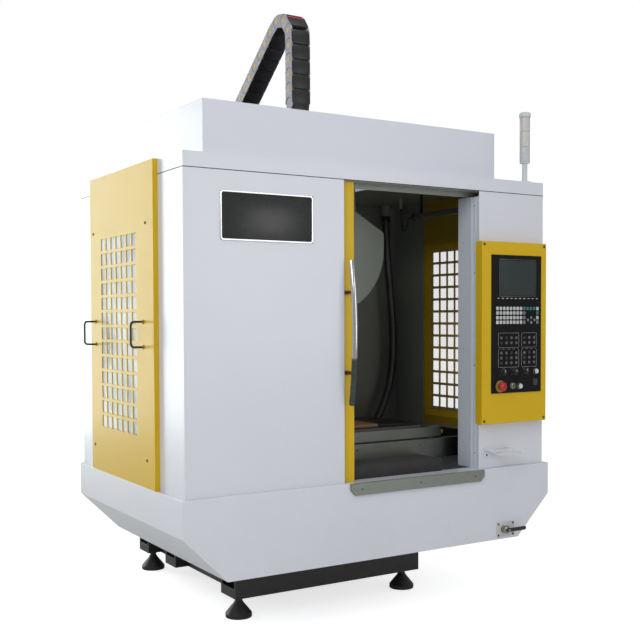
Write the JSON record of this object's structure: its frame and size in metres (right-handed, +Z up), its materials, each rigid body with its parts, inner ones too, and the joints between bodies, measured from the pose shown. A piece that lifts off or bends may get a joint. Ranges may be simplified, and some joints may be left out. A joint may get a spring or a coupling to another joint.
{
  "type": "cnc machining center",
  "caption": "Compact vertical machining centre: enclosed cabin on a tray and feet, sliding front door, control pendant, moving table, saddle and head, tool magazine, rear electrical cabinet.",
  "frame": {"origin": "on the floor under the middle of the machine's length, width and depth", "axes": "+X to the operator's right, +Y from the front to the electrical cabinet, +Z up"},
  "size_m": [1.848, 1.93, 2.5364],
  "materials": {
    "white_paint": "semi-gloss cool white enamel",
    "yellow_paint": "semi-gloss yellow enamel",
    "black_iron": "black painted casting",
    "dark_casting": "dark grey painted casting",
    "stainless": "brushed stainless",
    "bright_steel": "polished",
    "ground_steel": "ground",
    "zinc_screws": "zinc plated",
    "black_plastic": "fine texture",
    "grey_plastic": "fine texture",
    "display_glass": "clear over a dark display",
    "clear_sheet": "clear sheet",
    "red_plastic": "glossy red",
    "white_plastic": "glossy white",
    "motor_black": "satin black",
    "plate_black": "satin black with a bright rim",
    "black_rubber": "matt",
    "cabinet_grey": "textured light grey"
  },
  "bodies": {
    "machine_base": {"bed": "black_iron", "leveling_feet": "black_iron", "column": "dark_casting", "base_tray": "white_paint", "left_guard": "white_paint", "right_guard": "white_paint", "rear_guard": "white_paint", "roof_cap": "white_paint", "roof_box": "white_paint", "left_side_panel": "yellow_paint", "right_side_panel": "yellow_paint", "side_windows": "clear_sheet", "side_handles": "bright_steel", "panel_screws": "zinc_screws", "door_post": "white_paint", "sill": "stainless", "control_box": "yellow_paint", "display_unit": "black_plastic", "screen": "display_glass", "operator_panel": "black_plastic", "nameplate": "plate_black", "holder_bracket": "white_paint", "service_port": "ground_steel", "signal_tower": "white_plastic", "work_light": "grey_plastic", "lamp_cable": "black_rubber", "armored_hose": "ground_steel", "guide_rails": "ground_steel", "axis_motors": "motor_black", "electrical_cabinet": "cabinet_grey", "magazine_cover": "white_paint", "cable_chain": "grey_plastic", "y_bellows": "black_rubber"},
    "saddle_body": {"saddle": "dark_casting", "saddle_apron": "stainless", "x_rails": "ground_steel", "x_motor": "motor_black"},
    "table_body": {"table": "ground_steel", "table_guard": "stainless"},
    "head_body": {"head": "dark_casting", "chain_shelf": "dark_casting", "spindle_motor": "motor_black"},
    "spindle_body": {"spindle": "ground_steel"},
    "tool_disc_body": {"tool_disc": "dark_casting"},
    "y_screw_body": {"y_screw": "ground_steel"},
    "x_screw_body": {"x_screw": "ground_steel"},
    "z_screw_body": {"z_screw": "ground_steel"},
    "door_body": {"door": "yellow_paint", "door_window": "clear_sheet", "door_handle": "bright_steel"},
    "emergency_stop_body": {"emergency_stop": "red_plastic"},
    "start_button_body": {"start_button": "white_plastic"},
    "stop_button_body": {"stop_button": "white_plastic"},
    "knob_left_body": {"knob_left": "black_plastic"},
    "knob_middle_body": {"knob_middle": "black_plastic"},
    "knob_right_body": {"knob_right": "black_plastic"},
    "key_switch_body": {"key_switch": "black_plastic"},
    "valve_lever_body": {"valve_lever": "black_plastic"},
    "cabinet_door_body": {"cabinet_door": "cabinet_grey"},
    "main_switch_body": {"main_switch": "red_plastic"}
  },
  "joints": [
    {"name": "y_slide", "type": "slide", "parent": "machine_base", "child": "saddle_body", "axis": [0, 1, 0], "range_m": [-0.025, 0.375], "deforming": ["y_bellows"]},
    {"name": "x_slide", "type": "slide", "parent": "saddle_body", "child": "table_body", "axis": [1, 0, 0], "range_m": [-0.3, 0.3]},
    {"name": "z_slide", "type": "slide", "parent": "machine_base", "child": "head_body", "axis": [0, 0, 1], "range_m": [-0.3, 0], "deforming": ["cable_chain"]},
    {"name": "spindle_turn", "type": "hinge", "parent": "head_body", "child": "spindle_body", "pos_m": [0, -0.265, 1.22], "axis": [0, 0, 1], "continuous": true},
    {"name": "tool_disc_turn", "type": "hinge", "parent": "machine_base", "child": "tool_disc_body", "pos_m": [0, -0.404, 1.537], "axis": [0, 1, 0], "continuous": true},
    {"name": "y_screw_turn", "type": "hinge", "parent": "machine_base", "child": "y_screw_body", "pos_m": [0, -0.6, 0.49], "axis": [0, 1, 0], "range_deg": [-600, 8500]},
    {"name": "x_screw_turn", "type": "hinge", "parent": "saddle_body", "child": "x_screw_body", "pos_m": [0, -0.44, 0.635], "axis": [1, 0, 0], "range_deg": [-6800, 6800]},
    {"name": "z_screw_turn", "type": "hinge", "parent": "machine_base", "child": "z_screw_body", "pos_m": [0, 0.21, 1.5], "axis": [0, 0, 1], "range_deg": [-6800, 20]},
    {"name": "door_slide", "type": "slide", "parent": "machine_base", "child": "door_body", "axis": [1, 0, 0], "range_m": [0, 0.617]},
    {"name": "emergency_press", "type": "slide", "parent": "machine_base", "child": "emergency_stop_body", "axis": [0, 1, 0], "range_m": [0, 0.006]},
    {"name": "start_press", "type": "slide", "parent": "machine_base", "child": "start_button_body", "axis": [0, 1, 0], "range_m": [0, 0.004], "stiffness_N_per_m": 400},
    {"name": "stop_press", "type": "slide", "parent": "machine_base", "child": "stop_button_body", "axis": [0, 1, 0], "range_m": [0, 0.004], "stiffness_N_per_m": 400},
    {"name": "knob_left_turn", "type": "hinge", "parent": "machine_base", "child": "knob_left_body", "pos_m": [0.583, -0.908, 1.002], "axis": [0, 1, 0], "range_deg": [-135, 135]},
    {"name": "knob_middle_turn", "type": "hinge", "parent": "machine_base", "child": "knob_middle_body", "pos_m": [0.647, -0.908, 1.002], "axis": [0, 1, 0], "range_deg": [-135, 135]},
    {"name": "knob_right_turn", "type": "hinge", "parent": "machine_base", "child": "knob_right_body", "pos_m": [0.708, -0.908, 1.004], "axis": [0, 1, 0], "range_deg": [-135, 135]},
    {"name": "key_turn", "type": "hinge", "parent": "machine_base", "child": "key_switch_body", "pos_m": [0.636, -0.908, 0.943], "axis": [0, 1, 0], "range_deg": [0, 90]},
    {"name": "valve_turn", "type": "hinge", "parent": "machine_base", "child": "valve_lever_body", "pos_m": [0.609, -0.925, 0.331], "axis": [0, 1, 0], "range_deg": [0, 90]},
    {"name": "cabinet_door_swing", "type": "hinge", "parent": "machine_base", "child": "cabinet_door_body", "pos_m": [-0.34, 0.935, 1.17], "axis": [0, 0, 1], "range_deg": [0, 110]},
    {"name": "main_switch_turn", "type": "hinge", "parent": "cabinet_door_body", "child": "main_switch_body", "pos_m": [0.2, 0.945, 1.45], "axis": [0, 1, 0], "range_deg": [0, 90]}
  ],
  "couplings": [
    {"joint": "y_screw_turn", "follows": "y_slide", "rad_per_m": 392.7},
    {"joint": "x_screw_turn", "follows": "x_slide", "rad_per_m": 392.7},
    {"joint": "z_screw_turn", "follows": "z_slide", "rad_per_m": 392.7}
  ]
}
